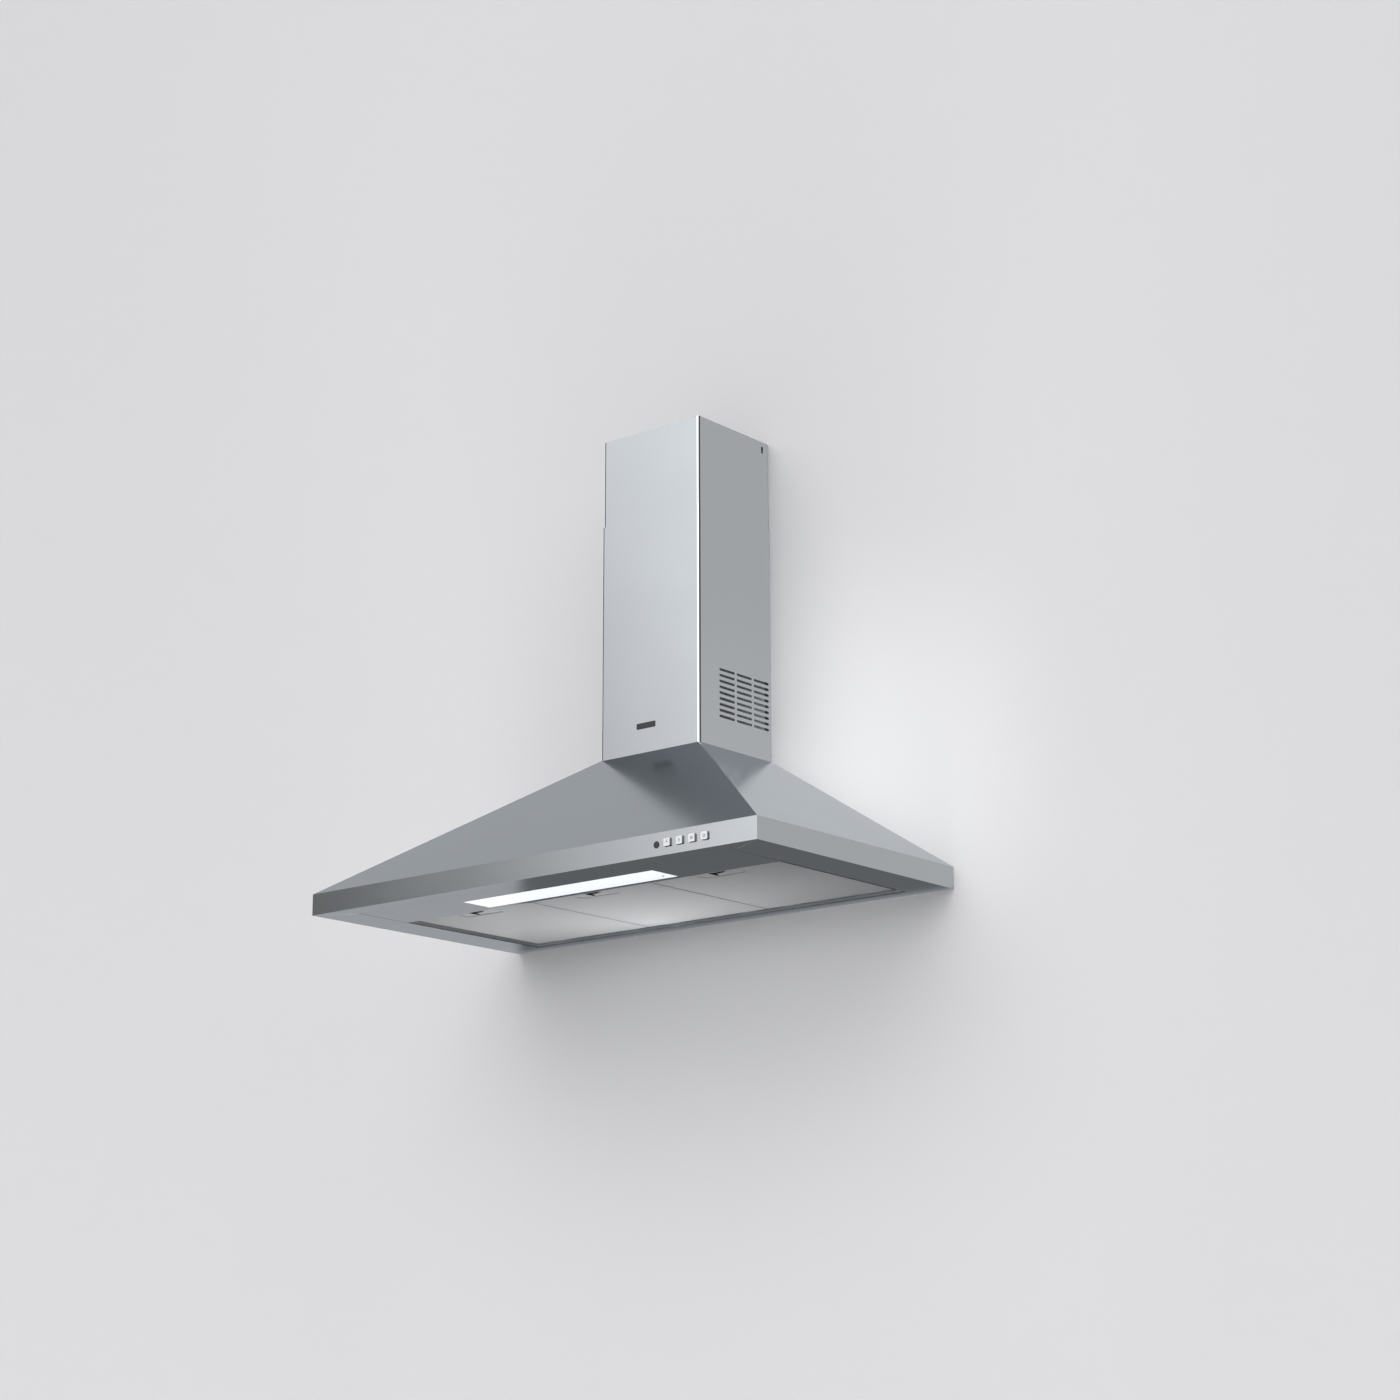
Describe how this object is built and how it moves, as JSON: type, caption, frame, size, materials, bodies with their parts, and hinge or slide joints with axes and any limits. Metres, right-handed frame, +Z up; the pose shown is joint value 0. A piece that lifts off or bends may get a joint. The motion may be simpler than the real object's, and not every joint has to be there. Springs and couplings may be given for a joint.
{
  "type": "chimney range hood",
  "caption": "Wall-mounted pyramid range hood with a telescoping vented chimney, centrifugal blower, flush lamp, push keys and swing-down grease filters.",
  "frame": {"origin": "on the wall side of the canopy's back panel, midway between the two wall hooks and level with their shelves", "axes": "+Z up, +Y into the wall (outward normal of the back panel), +X to the right as seen from the front"},
  "size_m": [0.898, 0.478, 0.791],
  "materials": {
    "canopy_steel": "satin, brushed",
    "lamp_panel_steel": "satin, brushed",
    "tray_steel": "satin",
    "lower_cover_steel": "satin, brushed",
    "upper_cover_steel": "satin, brushed",
    "galvanised_sheet": "matt zinc",
    "coated_steel": "matt black coat",
    "lamp_diffuser": "frosted white, lit from behind",
    "circuit_board": "solder mask",
    "electrics_plastic": "moulded",
    "blower_plastic": "moulded, fine grain",
    "outlet_plastic": "moulded",
    "motor_steel": "turned and lacquered",
    "ground_steel": "ground",
    "indicator_plastic": "smoked, glossy",
    "cable_rubber": "matt",
    "key_metal": "satin",
    "filter_frame_aluminium": "satin",
    "filter_mesh_aluminium": "fine mesh",
    "latch_pan_metal": "satin",
    "latch_slider_metal": "satin"
  },
  "bodies": {
    "canopy": {"canopy_shell": "canopy_steel", "canopy_back_panel": "galvanised_sheet", "canopy_top_plate": "galvanised_sheet", "wall_hook_left": "galvanised_sheet", "wall_hook_right": "galvanised_sheet", "filter_tray": "tray_steel", "filter_hinge_rail": "galvanised_sheet", "lamp_panel": "lamp_panel_steel", "lamp_lens": "lamp_diffuser", "lamp_housing": "galvanised_sheet", "lamp_board": "circuit_board", "lamp_driver": "electrics_plastic", "lower_chimney_cover": "lower_cover_steel", "cover_clip_left": "galvanised_sheet", "cover_clip_right": "galvanised_sheet", "blower_housing_left": "blower_plastic", "blower_housing_right": "blower_plastic", "inlet_guard": "blower_plastic", "motor_spider": "galvanised_sheet", "motor_can": "motor_steel", "motor_bearing_left": "ground_steel", "motor_bearing_right": "ground_steel", "capacitor": "electrics_plastic", "outlet_collar": "outlet_plastic", "flap_pin_front": "ground_steel", "flap_pin_rear": "ground_steel", "control_box": "blower_plastic", "control_board": "circuit_board", "indicator_lens": "indicator_plastic", "junction_box": "electrics_plastic", "junction_lid": "electrics_plastic", "cable_gland": "cable_rubber", "motor_lead": "cable_rubber", "control_lead": "cable_rubber"},
    "upper_chimney": {"upper_chimney_cover": "upper_cover_steel", "chimney_wall_bracket": "coated_steel"},
    "fan_rotor": {"motor_shaft": "ground_steel", "fan_wheel": "blower_plastic"},
    "flap_front": {"flap_front": "outlet_plastic"},
    "flap_rear": {"flap_rear": "outlet_plastic"},
    "key_1": {"key_1": "key_metal"},
    "key_2": {"key_2": "key_metal"},
    "key_3": {"key_3": "key_metal"},
    "key_4": {"key_4": "key_metal"},
    "filter_1": {"filter_frame_1": "filter_frame_aluminium", "filter_mesh_1": "filter_mesh_aluminium", "latch_pan_1": "latch_pan_metal"},
    "latch_1": {"latch_slider_1": "latch_slider_metal"},
    "filter_2": {"filter_frame_2": "filter_frame_aluminium", "filter_mesh_2": "filter_mesh_aluminium", "latch_pan_2": "latch_pan_metal"},
    "latch_2": {"latch_slider_2": "latch_slider_metal"},
    "filter_3": {"filter_frame_3": "filter_frame_aluminium", "filter_mesh_3": "filter_mesh_aluminium", "latch_pan_3": "latch_pan_metal"},
    "latch_3": {"latch_slider_3": "latch_slider_metal"}
  },
  "joints": [
    {"name": "chimney_slide", "type": "slide", "parent": "canopy", "child": "upper_chimney", "axis": [0, 0, 1], "range_m": [-0.14, 0.195]},
    {"name": "fan_spin", "type": "hinge", "parent": "canopy", "child": "fan_rotor", "pos_m": [0, -0.13, -0.055], "axis": [1, 0, 0], "continuous": true},
    {"name": "flap_front_hinge", "type": "hinge", "parent": "canopy", "child": "flap_front", "pos_m": [0, -0.0945, 0.08235], "axis": [-1, 0, 0], "range_deg": [0, 75]},
    {"name": "flap_rear_hinge", "type": "hinge", "parent": "canopy", "child": "flap_rear", "pos_m": [0, -0.0875, 0.08235], "axis": [1, 0, 0], "range_deg": [0, 75]},
    {"name": "key_1_press", "type": "slide", "parent": "canopy", "child": "key_1", "axis": [0, 1, 0], "range_m": [0, 0.0025], "stiffness_N_per_m": 400, "springref_m": -0.002},
    {"name": "key_2_press", "type": "slide", "parent": "canopy", "child": "key_2", "axis": [0, 1, 0], "range_m": [0, 0.0025], "stiffness_N_per_m": 400, "springref_m": -0.002},
    {"name": "key_3_press", "type": "slide", "parent": "canopy", "child": "key_3", "axis": [0, 1, 0], "range_m": [0, 0.0025], "stiffness_N_per_m": 400, "springref_m": -0.002},
    {"name": "key_4_press", "type": "slide", "parent": "canopy", "child": "key_4", "axis": [0, 1, 0], "range_m": [0, 0.0025], "stiffness_N_per_m": 400, "springref_m": -0.002},
    {"name": "filter_1_swing", "type": "hinge", "parent": "canopy", "child": "filter_1", "pos_m": [-0.245, -0.0301, -0.183], "axis": [1, 0, 0], "range_deg": [0, 70]},
    {"name": "latch_1_pull", "type": "slide", "parent": "filter_1", "child": "latch_1", "axis": [0, 1, 0], "range_m": [0, 0.005], "stiffness_N_per_m": 300, "springref_m": -0.003},
    {"name": "filter_2_swing", "type": "hinge", "parent": "canopy", "child": "filter_2", "pos_m": [0, -0.0301, -0.183], "axis": [1, 0, 0], "range_deg": [0, 70]},
    {"name": "latch_2_pull", "type": "slide", "parent": "filter_2", "child": "latch_2", "axis": [0, 1, 0], "range_m": [0, 0.005], "stiffness_N_per_m": 300, "springref_m": -0.003},
    {"name": "filter_3_swing", "type": "hinge", "parent": "canopy", "child": "filter_3", "pos_m": [0.245, -0.0301, -0.183], "axis": [1, 0, 0], "range_deg": [0, 70]},
    {"name": "latch_3_pull", "type": "slide", "parent": "filter_3", "child": "latch_3", "axis": [0, 1, 0], "range_m": [0, 0.005], "stiffness_N_per_m": 300, "springref_m": -0.003}
  ]
}
